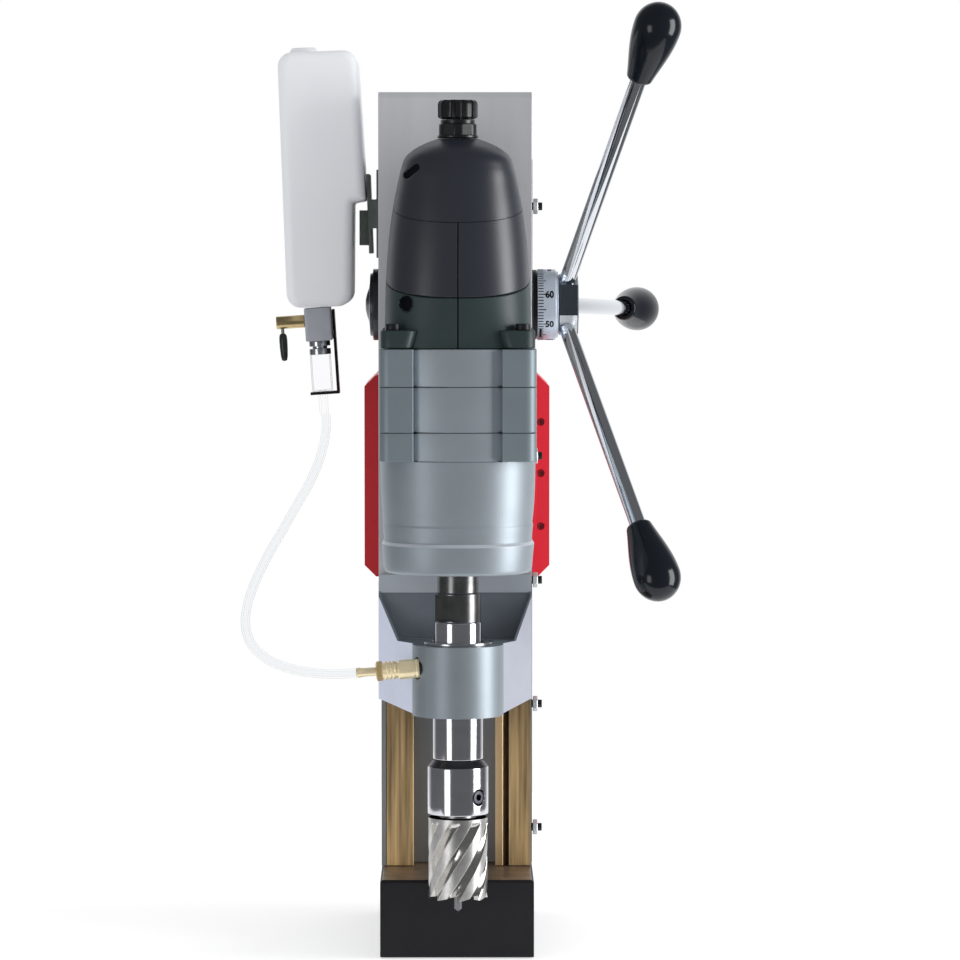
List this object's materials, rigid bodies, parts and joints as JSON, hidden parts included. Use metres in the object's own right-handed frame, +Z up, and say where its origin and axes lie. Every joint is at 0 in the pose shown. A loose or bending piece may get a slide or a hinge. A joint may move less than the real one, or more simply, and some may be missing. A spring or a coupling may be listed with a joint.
{
  "type": "cordless magnetic drill",
  "caption": "Magnetic base drilling machine with a rack feed carriage, star handle, geared motor and spindle, annular cutter, hanging coolant tank with valve and hose, and a rear battery",
  "frame": {"origin": "centre of the magnet's bottom face, which sticks to the work", "axes": "+Z up along the column and the spindle, +Y from the spindle back to the battery, +X to the side with the feed handles"},
  "size_m": [0.2386, 0.3325, 0.5195],
  "materials": {
    "magnet_paint": "satin black paint with a light top edge",
    "copper": "varnished copper winding",
    "cast_column": "machined casting, matt grey",
    "bronze": "ground bearing bronze, browned",
    "zinc": "zinc plated",
    "red_plastic": "moulded red",
    "black_plastic": "moulded satin black",
    "black_gloss": "polished black",
    "green_plastic": "moulded green",
    "milky_plastic": "translucent milky blow moulding",
    "clear_plastic": "clear plastic",
    "brass": "turned brass",
    "grey_metal": "grey block",
    "dark_steel": "blackened steel",
    "milled_plate": "milled plate",
    "steel": "ground steel",
    "tool_steel": "ground tool steel",
    "cast_bracket": "silver grey paint on a casting",
    "cast_gearbox": "fine blasted casting",
    "aluminium": "turned, with engraved scale",
    "chrome": "polished chrome"
  },
  "bodies": {
    "stand": {"magnet_body": "magnet_paint", "magnet_coil": "copper", "column": "cast_column", "guide_left": "bronze", "guide_right": "bronze", "gib_strip": "bronze", "rear_housing": "red_plastic", "control_panel": "black_plastic", "bush_left": "bronze", "bush_right": "dark_steel", "shaft_cover": "black_plastic", "tank_bracket": "zinc", "coolant_tank": "milky_plastic", "valve_block": "grey_metal", "sight_glass": "clear_plastic", "glass_strap": "dark_steel", "coolant_hose": "clear_plastic", "gib_screw_1": "zinc", "gib_screw_2": "zinc", "gib_screw_3": "zinc", "gib_screw_4": "zinc", "gib_screw_5": "zinc"},
    "carriage": {"carriage": "milled_plate", "rack": "steel", "bearing_bracket": "cast_bracket", "spindle_bearing": "bronze", "hose_fitting": "brass", "gearbox_housing": "cast_gearbox", "gear_plate": "cast_gearbox", "motor_flange": "cast_gearbox", "motor_housing": "black_plastic", "motor_cap": "black_plastic", "gland_body": "black_plastic", "gland_nut": "black_plastic", "stator": "copper"},
    "spindle": {"spindle": "steel", "drive_gear": "dark_steel", "tool_holder": "steel", "clamp_screw": "dark_steel", "annular_cutter": "tool_steel"},
    "feed": {"pinion_shaft": "steel", "scale_ring": "aluminium", "handle_hub": "dark_steel", "handle_rod_1": "chrome", "handle_knob_1": "black_gloss", "handle_rod_2": "chrome", "handle_knob_2": "black_gloss", "handle_rod_3": "chrome", "handle_knob_3": "black_gloss"},
    "tank_cap": {"tank_cap": "milky_plastic"},
    "valve_lever": {"valve_lever": "black_plastic", "valve_stem": "brass"},
    "magnet_switch": {"magnet_switch": "black_plastic"},
    "start_button": {"start_button": "green_plastic"},
    "stop_button": {"stop_button": "red_plastic"},
    "battery": {"battery_pack": "black_plastic"},
    "latch": {"battery_latch": "red_plastic"},
    "pilot": {"pilot_pin": "steel"},
    "layshaft": {"layshaft": "dark_steel"},
    "armature": {"armature": "dark_steel"}
  },
  "joints": [
    {"name": "carriage_slide", "type": "slide", "parent": "stand", "child": "carriage", "axis": [0, 0, 1], "range_m": [-0.055, 0.06], "deforming": ["coolant_hose"]},
    {"name": "feed_turn", "type": "hinge", "parent": "stand", "child": "feed", "pos_m": [0, 0.0015, 0.3548], "axis": [1, 0, 0], "range_deg": [-307, 281]},
    {"name": "spindle_turn", "type": "hinge", "parent": "carriage", "child": "spindle", "pos_m": [0.0005, -0.104, 0], "axis": [0, 0, 1], "continuous": true},
    {"name": "layshaft_turn", "type": "hinge", "parent": "carriage", "child": "layshaft", "pos_m": [0.0005, -0.0832, 0], "axis": [0, 0, 1], "continuous": true},
    {"name": "armature_turn", "type": "hinge", "parent": "carriage", "child": "armature", "pos_m": [0.0005, -0.104, 0], "axis": [0, 0, 1], "continuous": true},
    {"name": "pilot_slide", "type": "slide", "parent": "spindle", "child": "pilot", "axis": [0, 0, 1], "range_m": [0, 0.006], "stiffness_N_per_m": 400},
    {"name": "tank_cap_lift", "type": "slide", "parent": "stand", "child": "tank_cap", "axis": [-0.0366, 0, 0.9993], "range_m": [0, 0.025]},
    {"name": "valve_turn", "type": "hinge", "parent": "stand", "child": "valve_lever", "pos_m": [-0.07764, 0, 0.34602], "axis": [0.9979, 0, 0.0645], "range_deg": [0, 90]},
    {"name": "magnet_switch_rock", "type": "hinge", "parent": "stand", "child": "magnet_switch", "pos_m": [-0.021, 0.092, 0.218], "axis": [1, 0, 0], "range_deg": [-10, 10]},
    {"name": "start_press", "type": "slide", "parent": "stand", "child": "start_button", "axis": [0, -1, 0], "range_m": [0, 0.003], "stiffness_N_per_m": 900},
    {"name": "stop_press", "type": "slide", "parent": "stand", "child": "stop_button", "axis": [0, -1, 0], "range_m": [0, 0.003], "stiffness_N_per_m": 900},
    {"name": "battery_slide", "type": "slide", "parent": "stand", "child": "battery", "axis": [0, 0, 1], "range_m": [0, 0.09]},
    {"name": "latch_press", "type": "slide", "parent": "battery", "child": "latch", "axis": [0, 0, -1], "range_m": [0, 0.003], "stiffness_N_per_m": 900}
  ],
  "couplings": [
    {"joint": "feed_turn", "follows": "carriage_slide", "rad_per_m": -88.889},
    {"joint": "layshaft_turn", "follows": "spindle_turn", "ratio": -2.0588},
    {"joint": "armature_turn", "follows": "spindle_turn", "ratio": 4.2388}
  ]
}
